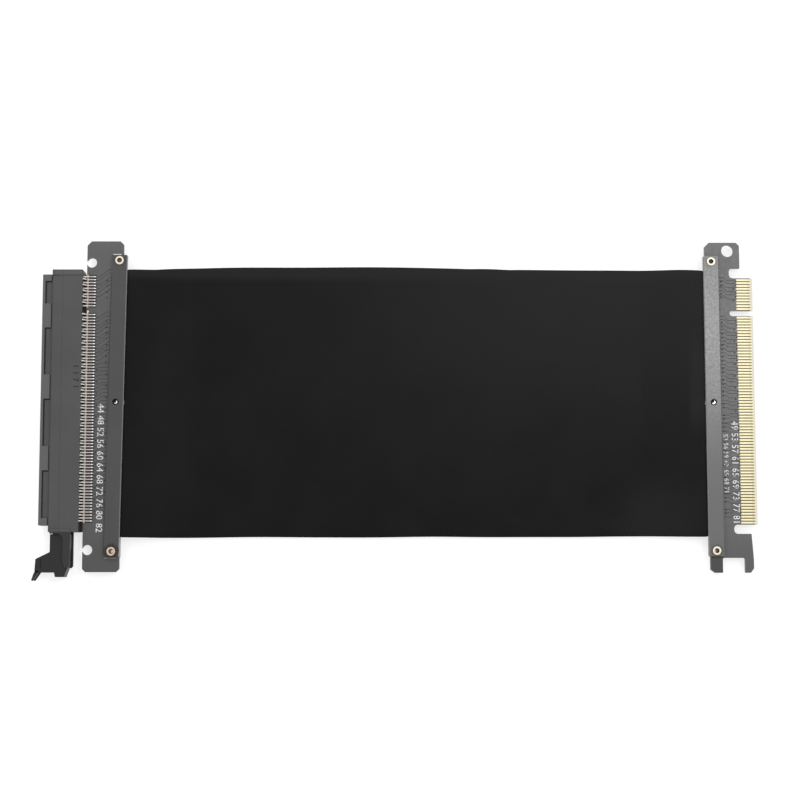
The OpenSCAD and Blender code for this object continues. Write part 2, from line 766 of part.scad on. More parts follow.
module plug_rivet(s) {
    color([0.88, 0.8, 0.62]) at_plug() at_plug_clamp()
        translate([0, s * rivet_span / 2, 0]) rivet();
}

module plug_centre_pin() {
    color([0.85, 0.85, 0.83]) at_plug() at_plug_clamp() translate([0, cable_y, 0]) locating_pin();
}

// ---------------------------------------------------------------- cable

// both ends of the cable in the object's frame, and where the wrap begins and ends
cable_x0 = mouth_x + socket_edge - cable_overlap;
cable_x1 = plug_x + cable_overlap;
wrap_x0 = mouth_x + socket_edge + clamp_overhang - skew_reach;
wrap_x1 = plug_x - clamp_overhang - fit;
straight = clamp_overhang + skew_reach + cable_straight;

// a smooth step from 0 to 1
function ease(t) = let (u = min(1, max(0, t))) u * u * (3 - 2 * u);

// how far the cable has come down at x: 1 at the socket board, 0 on the surface
function socket_share(x) = 1 - ease((x - mouth_x - socket_edge - straight) / socket_fall);
function plug_share(x) = ease((x - plug_x + straight + plug_fall) / plug_fall);

// middle plane of the cable, and how far the two layers stand apart from it
function middle_z(x) = cable_z + (socket_z - cable_z) * socket_share(x)
                     + (plug_z - cable_z) * plug_share(x);
function spread(x) = board_t / 2 * (socket_share(x) + plug_share(x));

// stations along the cable: close together where it comes down
falls = 10;
stations = concat(
    [cable_x0],
    [for (i = [0 : falls]) mouth_x + socket_edge + straight + i * socket_fall / falls],
    [for (i = [0 : falls]) plug_x - straight - plug_fall + i * plug_fall / falls],
    [cable_x1]
);

// the lower and the upper face of the upper layer
function inner_face(x) = middle_z(x) + spread(x);
function outer_face(x) = middle_z(x) + spread(x) + flat_t;

// the same two faces below the middle plane
function lower_inner(x) = middle_z(x) - spread(x);
function lower_outer(x) = middle_z(x) - spread(x) - flat_t;

// where one flat cable of a layer starts across the width, 1 being the highest in Y
function flat_y(k) = middle_y + cable_y + flats_w / 2 - k * flat_w - (k - 1) * flat_gap
                   - (k > flat_count / 2 ? pin_channel - flat_gap : 0);

module flat_cable(k, top) {
    upper = [for (x = stations) [x, top ? outer_face(x) : lower_inner(x)]];
    under = [for (i = [len(stations) - 1 : -1 : 0])
        let (x = stations[i]) [x, top ? inner_face(x) : lower_outer(x)]];
    color([0.12, 0.12, 0.12]) along_y(flat_y(k), flat_y(k) + flat_w) polygon(concat(upper, under));
}

module cable_upper(k) { flat_cable(k, true); }

module cable_lower(k) { flat_cable(k, false); }

// the film wrapped round both layers, up to the bars, with its end cut along the turned bar
module cable_wrap() {
    wrap_y = middle_y + cable_y;
    inside = [for (x = stations) if (x > wrap_x0 && x < wrap_x1) x];
    xs = concat([wrap_x0], inside, [wrap_x1]);
    open = concat([wrap_x0 - past], inside, [wrap_x1 + past]);
    color([0.13, 0.13, 0.13]) difference() {
        along_y(wrap_y - wrap_w / 2, wrap_y + wrap_w / 2) polygon(concat(
            [for (x = xs) [x, outer_face(x) + wrap_t]],
            [for (i = [len(xs) - 1 : -1 : 0]) [xs[i], lower_outer(xs[i]) - wrap_t]]
        ));
        along_y(wrap_y - flats_w / 2, wrap_y + flats_w / 2) polygon(concat(
            [for (x = open) [x, outer_face(x)]],
            [for (i = [len(open) - 1 : -1 : 0]) [open[i], lower_outer(open[i])]]
        ));
        at_socket() at_socket_clamp()
            block([-clamp_w, -clamp_len, -housing_t], [clamp_w / 2 + fit, clamp_len, housing_t]);
    }
}

// ---------------------------------------------------------------- plug end

module plug_board_outline() {
    half = board_len / 2;
    tongue_top = plug_row_y + tongue_half;
    tongue_low = plug_row_y - tongue_half;
    notch_x = tongue_tip - tongue_depth;
    foot_y = -half - leg_more;
    leg_root = foot_y + leg_len;
    gap_x0 = clamp_leg_w;
    hook_x = plug_board_w + hook_flare;
    gap_x1 = hook_x - hook_leg_w;
    difference() {
        union() {
            polygon([
                [0, foot_y], [hook_x, foot_y], [hook_x, leg_root - leg_r],
                [plug_board_w, tongue_low - lower_notch_w], [0, tongue_low - lower_notch_w]
            ]);
            patch(0, tongue_low - lower_notch_w - past, notch_x + notch_r, half);
            patch(0, tongue_low, tongue_tip, tongue_top);
            patch(0, tongue_top + upper_notch_w, plug_tab_w, half);
        }
        notch(notch_x, tongue_tip + past, tongue_top, tongue_top + upper_notch_w, notch_r);
        notch(notch_x, tongue_tip + past, tongue_low - lower_notch_w, tongue_low, notch_r);
        notch(notch_x, tongue_tip + past, plug_row_y + key_y - key_notch_w / 2,
              plug_row_y + key_y + key_notch_w / 2, key_notch_w / 2 - 0.01);
        patch(gap_x0, foot_y - past, gap_x1, leg_root - leg_r);
        patch(gap_x0 + leg_r, leg_root - leg_r - past / 10, gap_x1 - leg_r, leg_root);
        for (x = [gap_x0 + leg_r, gap_x1 - leg_r]) translate([x, leg_root - leg_r]) circle(leg_r);
        corner(-0.01, half + 0.01, corner_cut, -corner_cut);
        corner(plug_tab_w + 0.01, half + 0.01, -small_cut, -small_cut);
        corner(-0.01, foot_y - 0.01, corner_cut, small_cut);
        corner(hook_x + 0.01, foot_y - 0.01, -small_cut, corner_cut);
        translate([plug_hole_in, half - plug_hole_down]) circle(plug_hole_r);
        at_plug_clamp() clamp_holes();
    }
}

module plug_board() {
    color([0.5, 0.5, 0.5]) at_plug() difference() {
        plate(board_t) plug_board_outline();
        for (s = [-1, 1]) scale([1, 1, s])
            along_y(-board_len, board_len) polygon([
                [tongue_tip - bevel_len, board_t / 2],
                [tongue_tip + bevel_len, board_t / 2 - 2 * bevel_depth],
                [tongue_tip + bevel_len, board_t / 2 + past],
                [tongue_tip - bevel_len, board_t / 2 + past]
            ]);
    }
}

module finger_row() {
    x1 = tongue_tip - bevel_len;
    x0 = x1 - finger_len;
    at_plug_row() for (y = row)
        block([x0, y - finger_w / 2, board_t / 2], [x1, y + finger_w / 2, board_t / 2 + copper_t]);
}

module plug_fingers_upper() { color([0.93, 0.88, 0.66]) finger_row(); }

module plug_fingers_lower() {
    color([0.93, 0.88, 0.66]) translate([0, 0, 2 * plug_z]) mirror([0, 0, 1]) finger_row();
}

// ---------------------------------------------------------------- the object

socket_housing();
socket_latch();
socket_contacts_upper();
socket_contacts_lower();
socket_board();
socket_pads_upper();
socket_pads_lower();
socket_clamp_upper();
socket_clamp_lower();
socket_rivet(1);  // socket_rivet_1
socket_rivet(-1);  // socket_rivet_2
socket_centre_pin();
cable_upper(1);  // cable_upper_1
cable_upper(2);  // cable_upper_2
cable_upper(3);  // cable_upper_3
cable_upper(4);  // cable_upper_4
cable_upper(5);  // cable_upper_5
cable_upper(6);  // cable_upper_6
cable_lower(1);  // cable_lower_1
cable_lower(2);  // cable_lower_2
cable_lower(3);  // cable_lower_3
cable_lower(4);  // cable_lower_4
cable_lower(5);  // cable_lower_5
cable_lower(6);  // cable_lower_6
cable_wrap();
plug_board();
plug_fingers_upper();
plug_fingers_lower();
plug_clamp_upper();
plug_clamp_lower();
plug_rivet(1);  // plug_rivet_1
plug_rivet(-1);  // plug_rivet_2
plug_centre_pin();
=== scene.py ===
import math
import random

import bmesh
import bpy
from mathutils import Matrix, Vector


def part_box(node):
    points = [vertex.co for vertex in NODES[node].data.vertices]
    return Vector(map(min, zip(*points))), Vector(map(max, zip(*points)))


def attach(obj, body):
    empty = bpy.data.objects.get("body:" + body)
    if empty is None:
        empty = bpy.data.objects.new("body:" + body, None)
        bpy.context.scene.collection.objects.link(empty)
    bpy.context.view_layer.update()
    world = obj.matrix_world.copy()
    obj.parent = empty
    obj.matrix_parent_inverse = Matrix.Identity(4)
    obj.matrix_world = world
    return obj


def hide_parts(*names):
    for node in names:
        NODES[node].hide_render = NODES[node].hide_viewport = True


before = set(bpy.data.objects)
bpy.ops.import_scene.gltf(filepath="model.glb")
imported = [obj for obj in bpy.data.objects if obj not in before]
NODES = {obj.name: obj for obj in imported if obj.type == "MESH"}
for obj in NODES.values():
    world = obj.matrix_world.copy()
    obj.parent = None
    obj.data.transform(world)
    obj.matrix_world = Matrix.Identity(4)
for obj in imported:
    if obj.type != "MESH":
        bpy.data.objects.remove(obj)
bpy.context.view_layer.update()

bl_info = {
    "name": "Flexible riser card",
    "version": (1, 0, 0),
    "blender": (4, 5, 0),
    "location": "3D View > Sidebar > Riser",
    "description": "Dresses a slot riser with its film, tracks, solder, numbers and finishes",
    "category": "Object",
}

MM = 0.001
BODY = "riser"
CONTACTS = 82
BEFORE_KEY = 11
KEY_STEPS = 2          # pitches that the key leaves out of the row


# ---------------------------------------------------------------- places taken from the CAD nodes' boxes

def low(node):
    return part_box(node)[0]


def high(node):
    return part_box(node)[1]


def middle(node):
    return (low(node) + high(node)) / 2


def row_places(node, width):
    """Y of each contact's middle, first to last, from the box of a node that holds the row."""
    top, bottom = high(node).y - width / 2, low(node).y + width / 2
    pitch = (top - bottom) / (CONTACTS - 1 + KEY_STEPS)
    return [top - pitch * (i + (KEY_STEPS if i >= BEFORE_KEY else 0)) for i in range(CONTACTS)]


PAD_W = 0.6 * MM
FINGER_W = 0.7 * MM
PATTERN = 4            # contacts that one pattern of tracks serves
INK_T = 0.008 * MM     # half the thickness of a print
INK_LIFT = 0.012 * MM  # a print's middle above its board
WEAVE = 4200           # how fast the boards' cloth weave repeats
SOCKET_ROW = row_places("socket_pads_upper", PAD_W)
PLUG_ROW = row_places("plug_fingers_upper", FINGER_W)


# ---------------------------------------------------------------- shader sockets

class Wire:
    """One output of a shader node. Arithmetic on it adds Math nodes."""

    def __init__(self, tree, out):
        self.tree = tree
        self.out = out

    def feed(self, target):
        self.tree.links.new(self.out, target)

    def node(self, kind, ins=None, out=0, **settings):
        """Adds any node: its settings first, then the values or links of its inputs."""
        made = self.tree.nodes.new(kind)
        for key, value in settings.items():
            setattr(made, key, value)
        for key, value in (ins or {}).items():
            if isinstance(value, Wire):
                value.feed(made.inputs[key])
            else:
                made.inputs[key].default_value = value
        return Wire(self.tree, made.outputs[out])

    def math(self, operation, *others):
        return self.node("ShaderNodeMath", dict(enumerate((self, *others))), operation=operation)

    def __add__(self, other):
        return self.math("ADD", other)

    __radd__ = __add__

    def __sub__(self, other):
        return self.math("SUBTRACT", other)

    def __rsub__(self, other):
        return self.node("ShaderNodeMath", {0: other, 1: self}, operation="SUBTRACT")

    def __mul__(self, other):
        return self.math("MULTIPLY", other)

    __rmul__ = __mul__

    def __truediv__(self, other):
        return self.math("DIVIDE", other)

    def __gt__(self, other):
        return self.math("GREATER_THAN", other)

    def __lt__(self, other):
        return self.math("LESS_THAN", other)

    def __abs__(self):
        return self.math("ABSOLUTE")

    def step(self, start, end):
        """0 below start, 1 above end, smooth between them."""
        return self.node("ShaderNodeMapRange", {0: self, 1: start, 2: end},
                         interpolation_type="SMOOTHSTEP")

    def blend(self, a, b):
        """Colour a where this is 0, colour b where it is 1."""
        return self.node("ShaderNodeMix", {0: self, 6: a, 7: b}, out=2, data_type="RGBA")


def tone(r, g=None, b=None):
    """A colour written from 0 to 255, as linear red, green and blue."""
    values = (r, r if g is None else g, r if b is None else b)
    linear = [v / 255 for v in values]
    linear = [v / 12.92 if v < 0.04045 else ((v + 0.055) / 1.055) ** 2.4 for v in linear]
    return (*linear, 1)


def shade(colour, factor):
    return (*[min(1, c * factor) for c in colour[:3]], 1)


class Finish:
    """A material with its Principled shader, and the object's own coordinates to paint with."""

    def __init__(self, name, **settings):
        self.material = bpy.data.materials.new(name)
        self.material.use_nodes = True
        self.tree = self.material.node_tree
        self.shader = self.tree.nodes["Principled BSDF"]
        coordinates = self.tree.nodes.new("ShaderNodeTexCoord")
        self.place = Wire(self.tree, coordinates.outputs["Object"])
        for key, value in settings.items():
            self.shader.inputs[key.replace("_", " ")].default_value = value

    def axes(self):
        split = self.place.node("ShaderNodeSeparateXYZ", {0: self.place})
        return [Wire(self.tree, out) for out in split.out.node.outputs]

    def stretched(self, scale):
        return self.place.node("ShaderNodeMapping", {"Vector": self.place, "Scale": scale})

    def noise(self, scale, detail=2, rough=0.5, place=None):
        return self.place.node("ShaderNodeTexNoise", {"Vector": place or self.place,
                                                      "Scale": scale, "Detail": detail,
                                                      "Roughness": rough})

    def bump(self, height, distance, strength=1.0):
        normal = height.node("ShaderNodeBump", {"Height": height, "Distance": distance,
                                                "Strength": strength})
        normal.feed(self.shader.inputs["Normal"])

    def paint(self, colour):
        colour.feed(self.shader.inputs["Base Color"])

    def roughen(self, value):
        value.feed(self.shader.inputs["Roughness"])


# ---------------------------------------------------------------- modelling helpers

def object_mode():
    if bpy.context.object and bpy.context.object.mode != "OBJECT":
        bpy.ops.object.mode_set(mode="OBJECT")


def start_afresh():
    object_mode()
    bpy.ops.object.select_all(action="DESELECT")


def only(obj):
    start_afresh()
    obj.select_set(True)
    bpy.context.view_layer.objects.active = obj


def edit_all(obj):
    """Opens one object in edit mode with its whole mesh selected."""
    only(obj)
    bpy.ops.object.mode_set(mode="EDIT")
    bpy.ops.mesh.select_all(action="SELECT")


def select(mode, test):
    """In edit mode, selects the faces or the edges of the active mesh that pass a test."""
    data = bpy.context.object.data
    mesh = bmesh.from_edit_mesh(data)
    bpy.ops.mesh.select_mode(type=mode)
    for part in (*mesh.faces, *mesh.edges):
        part.select_set(False)
    for part in mesh.faces if mode == "FACE" else mesh.edges:
        if test(part):
            part.select_set(True)
    if mode == "EDGE":
        mesh.select_flush(True)
    bmesh.update_edit_mesh(data)


def raise_up(height):
    """In edit mode, extrudes what is selected straight up."""
    bpy.ops.mesh.extrude_region_move(TRANSFORM_OT_translate={"value": (0, 0, height)})


def close_up():
    """Turns the faces of the mesh in edit mode outwards, and leaves edit mode."""
    bpy.ops.mesh.select_all(action="SELECT")
    bpy.ops.mesh.normals_make_consistent(inside=False)
    object_mode()


def cut_across(point, normal):
    """In edit mode, cuts the whole active mesh with a plane."""
    bpy.ops.mesh.select_all(action="SELECT")
    bpy.ops.mesh.bisect(plane_co=point, plane_no=normal)


def modify(obj, name, kind, **settings):
    modifier = obj.modifiers.new(name, kind)
    for key, value in settings.items():
        setattr(modifier, key, value)


def apply_modifiers(obj):
    only(obj)
    for modifier in list(obj.modifiers):
        bpy.ops.object.modifier_apply(modifier=modifier.name)


def lay_down(obj):
    """Puts an object's place into its mesh."""
    only(obj)
    bpy.ops.object.transform_apply(location=True, rotation=True, scale=True)


def copied(obj, offset):
    """A copy with a mesh of its own, moved by an offset."""
    copy = obj.copy()
    copy.data = obj.data.copy()
    bpy.context.collection.objects.link(copy)
    copy.data.transform(Matrix.Translation(offset))
    return copy


def joined(objects, name):
    only(objects[0])
    for obj in objects[1:]:
        obj.select_set(True)
    bpy.ops.object.join()
    made = bpy.context.object
    made.name = made.data.name = name
    return made


def mirrored(obj, name, height):
    """A copy turned over to the other side of a level plane, with its faces put right."""
    copy = copied(obj, (0, 0, 0))
    copy.name = copy.data.name = name
    edit_all(copy)
    bpy.ops.transform.resize(value=(1, 1, -1), center_override=(0, 0, height))
    close_up()
    return copy


def dress(obj, material):
    obj.data.materials.clear()
    obj.data.materials.append(material)
    return obj


def dress_node(name, material):
    """Gives a CAD node a better material in the slots that it has."""
    for slot in NODES[name].material_slots:
        slot.material = material


def carry(obj, material):
    """Dresses a finished piece and lets it ride on the riser."""
    dress(obj, material)
    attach(obj, BODY)


# ---------------------------------------------------------------- finishes

def within(value, start, end):
    """1 between two places, 0 outside them."""
    return (value > start) * (value < end)


def from_axis(x, y, centre):
    """Distance from an upright axis."""
    dx, dy = x - centre[0], y - centre[1]
    return (dx * dx + dy * dy).math("SQRT")


def off_middle(y, row):
    """Distance from the middle of the nearest contact of a row, along Y."""
    pitch = row[0] - row[1]
    return abs(((y - row[0]) / pitch + 0.5).math("FRACT") - 0.5) * pitch


def paint_zones(colour, zones):
    for mask, tint in zones:
        colour = mask.blend(colour, tint)
    return colour


def moulded_plastic(name, colour, zones=None, grain=0.05, specular=0.4, rough=0.5):
    """Matt moulded plastic: slow changes of tone, a fine grain and faint scuffs.

    zones is a function that gives pairs of mask and colour, painted over the plastic.
    """
    finish = Finish(name, Specular_IOR_Level=specular)
    slow = finish.noise(70, 3)
    fine = finish.noise(1900, 2)
    scuffs = finish.noise(420, 5, 0.75, finish.stretched((1, 0.25, 1)))
    worn = scuffs.step(0.6, 0.78) * 0.5
    tint = slow.step(0.3, 0.7).blend(shade(colour, 0.92), shade(colour, 1.06))
    tint = worn.blend(tint, shade(colour, 1.16))
    finish.paint(paint_zones(tint, zones(finish) if zones else ()))
    finish.roughen(rough + (fine - 0.5) * 0.12 - worn * 0.1)
    finish.bump(fine, grain * MM)
    return finish


def fibre_board(name, colour, zones):
    """Board under its mask, with a faint cloth weave, and the zones painted over it: bare laminate
    and painted shade.
    """
    finish = Finish(name, Specular_IOR_Level=0.5)
    x, y, _ = finish.axes()
    slow = finish.noise(90, 3)
    speck = finish.noise(900, 3, 0.6)
    mask = slow.step(0.3, 0.7).blend(shade(colour, 0.93), shade(colour, 1.07))
    mask = speck.step(0.62, 0.75).blend(mask, shade(colour, 0.84))
    finish.paint(paint_zones(mask, zones(finish)))
    finish.roughen(0.36 + (speck - 0.5) * 0.16)
    weave = (x * WEAVE).math("SINE") * (y * WEAVE).math("SINE")
    finish.bump(weave * 0.5 + speck, 0.006 * MM)
    return finish


def plated_metal(name, colour, rough, wear_colour, metallic=1.0, zones=None):
    """Plating with worn patches, a fine grain and uneven gloss."""
    finish = Finish(name, Metallic=metallic)
    fine = finish.noise(2600, 3)
    slow = finish.noise(500, 3)
    tint = slow.step(0.5, 0.75).blend(colour, wear_colour)
    finish.paint(paint_zones(tint, zones(finish) if zones else ()))
    finish.roughen(rough + (fine - 0.5) * 0.18)
    finish.bump(fine, 0.01 * MM)
    return finish


# ---------------------------------------------------------------- sizes and colours

def colour_property(name, description, colour):
    return bpy.props.FloatVectorProperty(name=name, description=description, subtype="COLOR",
                                         size=4, min=0, max=1, default=colour)


def length_property(name, description, mm):
    return bpy.props.FloatProperty(name=name, description=description, default=mm * MM,
                                   subtype="DISTANCE", unit="LENGTH", precision=5)


# swells of the film's +Y edge: the middle and half the length in mm, and the share of the rise
BULGES = ((-22, 60, 1.0), (65, 40, 0.43))


class RISER_PG_film(bpy.types.PropertyGroup):
    colour: colour_property("Film", "Colour of the film round the flat cables", tone(21))
    edge_wave: length_property("Edge wave", "How far the film's edges wander", 0.7)
    face_wave: length_property("Face wave", "How far the film's face rises and falls", 0.3)
    bulge: length_property("Bulge", "How far the film's +Y edge swells out at most", 1.5)
    round_edge: length_property("Round edge", "Radius of the film's folded edges", 0.5)


class RISER_PG_boards(bpy.types.PropertyGroup):
    mask: colour_property("Mask", "Colour of the boards' mask", tone(80))
    strip: colour_property("Bare strip", "Bare laminate at the socket board's edge",
                           tone(184, 174, 158))
    gap: colour_property("Gaps", "Bare laminate between the fingers", tone(70, 62, 38))
    bevel: colour_property("Bevel", "Laminate laid open at the plug's tip", tone(226, 222, 206))
    track: colour_property("Track", "Colour of the mask over a track", tone(36))
    hole: colour_property("Vias", "Colour of the filled vias", tone(22))
    ink: colour_property("Ink", "Colour of the printed numbers", tone(228))
    track_w: length_property("Track width", "Width of a track", 0.16)
    track_t: length_property("Track height", "How far a track stands up", 0.035)
    via_r: length_property("Via radius", "Radius of a via", 0.26)
    digit_h: length_property("Number height", "Height of the printed numbers", 2.2)


class RISER_PG_parts(bpy.types.PropertyGroup):
    housing: colour_property("Housing", "Colour of the socket housing", tone(71))
    # the ears are part of the housing's moulding; their darker tone is painted shade
    ear: colour_property("Ears", "Colour of the ears beside the latch", tone(39))
    latch: colour_property("Latch", "Colour of the latch", tone(33))
    bar: colour_property("Clamp bars", "Colour of the clamp bars", tone(64))
    # a painted highlight along the bars' edges by the cable
    bar_edge: colour_property("Bar edges", "Colour of the bars' cut edges", tone(124))
    # dark rings painted round the rivets on the bars
    stain: colour_property("Stain", "Flux left round the rivets", tone(30, 24, 18))
    bore: colour_property("Bores", "Colour inside the rivets", tone(96, 56, 26))
    brass: colour_property("Rivets", "Colour of the rivets", tone(201, 196, 178))
    tin: colour_property("Contacts", "Colour of the tinned contacts", tone(252, 249, 244))
    gold: colour_property("Fingers", "Colour of the gold fingers", tone(222, 212, 174))
    pad: colour_property("Pads", "Colour of the solder pads", tone(92, 80, 78))
    solder_len: length_property("Solder length", "Length of a solder fillet", 1.5)
    solder_h: length_property("Solder height", "Height of a solder fillet", 0.2)


class RISER_PG_stage(bpy.types.PropertyGroup):
    distance: length_property("Camera distance", "From the camera to what it looks at", 600)
    lens: bpy.props.FloatProperty(name="Lens", description="Focal length", default=79.6,
                                  unit="CAMERA")
    tilt: bpy.props.FloatProperty(name="Tilt", description="Camera's tilt towards -Y",
                                  default=math.radians(6.21), subtype="ANGLE", unit="ROTATION")
    lean: bpy.props.FloatProperty(name="Lean", description="Camera's tilt towards -X",
                                  default=math.radians(0.86), subtype="ANGLE", unit="ROTATION")


def sizes(group):
    return getattr(bpy.context.scene, "riser_" + group)


# ---------------------------------------------------------------- the film round the cables

def film_mesh(wanted, lo, hi):
    """The wrap's shell with rounded edges, cut into a grid fine enough to wave."""
    skin = copied(NODES["cable_wrap"], (0, 0, 0))
    skin.name = skin.data.name = "cable_film"
    skin.parent = None
    for key in list(skin.keys()):
        del skin[key]
    merge, at_side = 0.002 * MM, 0.01 * MM
    edit_all(skin)
    bpy.ops.mesh.remove_doubles(threshold=merge)
    bpy.ops.mesh.dissolve_limited(angle_limit=math.radians(0.05))
    select("EDGE", lambda e: all(
        min(abs(v.co.y - lo.y), abs(v.co.y - hi.y)) < at_side for v in e.verts)
        and abs(e.verts[0].co.x - e.verts[1].co.x) > at_side)
    bpy.ops.mesh.bevel(offset=wanted.round_edge, segments=4, clamp_overlap=True)
    across, along = 30, 90
    for i in range(1, across):
        cut_across((0, lo.y + (hi.y - lo.y) * i / across, 0), (0, 1, 0))
    for i in range(1, along):
        cut_across((lo.x + (hi.x - lo.x) * i / along, 0, 0), (1, 0, 0))
    bpy.ops.mesh.remove_doubles(threshold=merge)
    object_mode()
    return skin


def wave_film(skin, wanted, lo, hi):
    """Lets the film's edges wander, its faces rise and fall, and its +Y edge swell."""
    sides, faces, bulge = (skin.vertex_groups.new(name=name)
                           for name in ("sides", "faces", "bulge"))
    centre, half = (hi + lo) / 2, (hi - lo) / 2
    fixed = 12 * MM        # over which the film comes free from its bars
    for vertex in skin.data.vertices:
        out = abs(vertex.co.y - centre.y) / half.y
        by_side = max(0, (out - 0.8) / 0.2)
        end = min(vertex.co.x - lo.x, hi.x - vertex.co.x)
        free = min(1, max(0, end / fixed))
        sides.add([vertex.index], by_side * free, "REPLACE")
        faces.add([vertex.index], free * (1 - 0.5 * out ** 4), "REPLACE")
        if vertex.co.y > centre.y:
            swell = sum(rise * max(0, 1 - ((vertex.co.x / MM - place) / reach) ** 4)
                        for place, reach, rise in BULGES)
            bulge.add([vertex.index], min(1, by_side * swell), "REPLACE")
    for name, group, direction, size, strength, level in (
            ("edge_wave", "sides", "Y", 0.05, wanted.edge_wave, 0.5),
            ("face_wave", "faces", "Z", 0.04, wanted.face_wave, 0.0)):
        cloud = bpy.data.textures.new(name, "CLOUDS")
        cloud.noise_scale = size
        cloud.noise_depth = 1
        modify(skin, name, "DISPLACE", texture=cloud, texture_coords="LOCAL",
               direction=direction, strength=strength, mid_level=level, vertex_group=group)
    modify(skin, "bulge", "DISPLACE", direction="Y", strength=wanted.bulge, mid_level=0,
           vertex_group="bulge")
    apply_modifiers(skin)
    bpy.ops.object.shade_smooth_by_angle(angle=math.radians(35))


def film_finish(colour, lo, hi):
    """Black film: long streaks, paler towards one corner, with creases beside the bars, a painted
    highlight along its +Y edge and a painted highlight on the creases by the plug's bar.
    """
    film = Finish("black_film", Specular_IOR_Level=0.05)
    x, y, _ = film.axes()
    slow = film.noise(45, 4, 0.6)
    streak = film.noise(160, 3, 0.6, film.stretched((0.12, 1, 1)))
    black = (slow.step(0.35, 0.65) * 0.6 + streak * 0.4).blend(
        shade(colour, 0.85), shade(colour, 1.2))
    along_x, along_y = x.step(-70 * MM, 60 * MM), y.step(-35 * MM, hi.y)
    # painted highlight along the film's +Y edge
    rim = y.step(hi.y - 4.5 * MM, hi.y - 1 * MM)
    # painted highlight on the creases near the plug's bar
    bar_crease_highlight = x.step(hi.x - 6 * MM, hi.x - 4 * MM) * (
        1 - abs(y - 9 * MM).step(8 * MM, 20 * MM)) * streak
    corner = 1 - from_axis(x, y, (90 * MM, -38 * MM)).step(4 * MM, 22 * MM)
    pale = shade(colour, 2.6)
    film.paint(paint_zones(black, ((along_x * along_y * 0.75, pale), (rim * 0.6, pale),
                                   (bar_crease_highlight, pale), (corner * 0.6, shade(colour, 2.2)))))
    film.roughen(0.46 + (streak - 0.5) * 0.15)
    middle_y, half = (hi.y + lo.y) / 2, (hi.y - lo.y) / 2
    by_edge = abs(y - middle_y).step(half * 0.84, half)
    patches = film.noise(38, 1).step(0.5, 0.62)
    folds = film.noise(300, 2, 0.5, film.stretched((1, 0.4, 1))) * by_edge * patches
    wander = (film.noise(60, 2) - 0.5) * 1.5 * MM
    creases = sum(1 - abs(x + wander - place).step(0, 0.7 * MM)
                  for place in (lo.x + 3.5 * MM, hi.x - 4 * MM, hi.x - 2 * MM))
    film.bump(streak + slow * 2 + folds * 5 + creases * film.noise(35, 1) * 2.5,
              0.06 * MM, 0.6)
    return film.material


class RISER_OT_film(bpy.types.Operator):
    """Make the black film that is wrapped round both layers of flat cables"""

    bl_idname = "riser.film"
    bl_label = "Film"

    def execute(self, context):
        wanted = sizes("film")
        lo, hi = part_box("cable_wrap")
        skin = film_mesh(wanted, lo, hi)
        wave_film(skin, wanted, lo, hi)
        carry(skin, film_finish(tuple(wanted.colour), lo, hi))
        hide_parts("cable_wrap")

        core = moulded_plastic("cable_plastic", tone(40), rough=0.55, specular=0.3)
        for name in NODES:
            if name.startswith(("cable_upper", "cable_lower")):
                dress_node(name, core.material)
        return {"FINISHED"}


# ---------------------------------------------------------------- tracks, vias and numbers

def track(points, width, height, z):
    """One track: a square of copper drawn out edge by edge along its points, then raised."""
    x, y = points[0]
    bpy.ops.mesh.primitive_plane_add(size=width, location=(x, y, z))
    strip = bpy.context.object
    lay_down(strip)
    bpy.ops.object.mode_set(mode="EDIT")
    end = x + width / 2
    for (x0, y0), (x1, y1) in zip(points, points[1:]):
        reach = x1 - x0
        select("EDGE", lambda e: all(abs(v.co.x - end) < width / 8 for v in e.verts))
        bpy.ops.mesh.extrude_region_move(
            TRANSFORM_OT_translate={"value": (reach, y1 - y0, 0)})
        end += reach
    bpy.ops.mesh.select_all(action="SELECT")
    raise_up(height)
    close_up()
    return strip


def via(x, y, radius, height, z):
    """A via: a low round pad whose middle is sunk."""
    bpy.ops.mesh.primitive_circle_add(vertices=10, radius=radius, fill_type="NGON",
                                      location=(x, y, z))
    pad = bpy.context.object
    lay_down(pad)
    edit_all(pad)
    raise_up(height)
    select("FACE", lambda f: f.normal.z > 0.9 and f.calc_center_median().z > z + height / 2)
    bpy.ops.mesh.inset(thickness=radius * 0.45, depth=-height * 0.6)
    close_up()
    return pad


def socket_cells(x0, x1, z, wanted, copper, hole):
    """Patterns for four contacts, steep ones first: lines that slant up from the pads, and vias."""
    w, t, r = wanted.track_w, wanted.track_t, wanted.via_r
    cells = []
    for rise in (2.6, 1.9, 1.0, 0.4):
        parts = []
        for lane, start in ((0, 0.9), (-1.4, 0.6), (-2.7, 1.2)):
            y = lane * MM
            parts.append(dress(track([
                (x0, y), (x0 + start * MM, y),
                (x0 + (start + rise * 1.3) * MM, y + rise * MM),
                (x1, y + rise * MM)], w, t, z), copper))
        steep = rise > 1.5
        places = ((x1 - 1.2 * MM, -1.3), (x1 - 1.2 * MM, -3.2)) if steep else (
            (x0 + 0.6 * MM, -1.9), (x1 - 1.0 * MM, -3.4))
        for x, lane in places:
            parts.append(dress(via(x, lane * MM, r, t, z), hole))
        cells.append(joined(parts, "socket_cell"))
    return cells


def plug_cells(x0, x1, z, wanted, copper, hole):
    """Patterns for four contacts: pairs of lines that jog between two columns of vias."""
    w, t, r = wanted.track_w, wanted.track_t, wanted.via_r
    cells = []
    for jog, bend in ((0.9, 1.8), (1.5, 1.4), (0.6, 2.3), (-0.5, 2.8)):
        parts = []
        for lane in (0, -1.1, -2.6):
            y = lane * MM
            parts.append(dress(track([
                (x0, y + jog * MM), (x0 + bend * MM, y + jog * MM),
                (x0 + (bend + abs(jog)) * MM, y), (x1, y)], w, t, z), copper))
        for x, lane in ((x0 + 1.0 * MM, -0.55), (x0 + 1.0 * MM, -1.9), (x1 - 0.4 * MM, -0.5),
                        (x1 - 0.4 * MM, -1.8), (x1 - 1.2 * MM, -3.1)):
            parts.append(dress(via(x, lane * MM, r, t, z), hole))
        cells.append(joined(parts, "plug_cell"))
    return cells


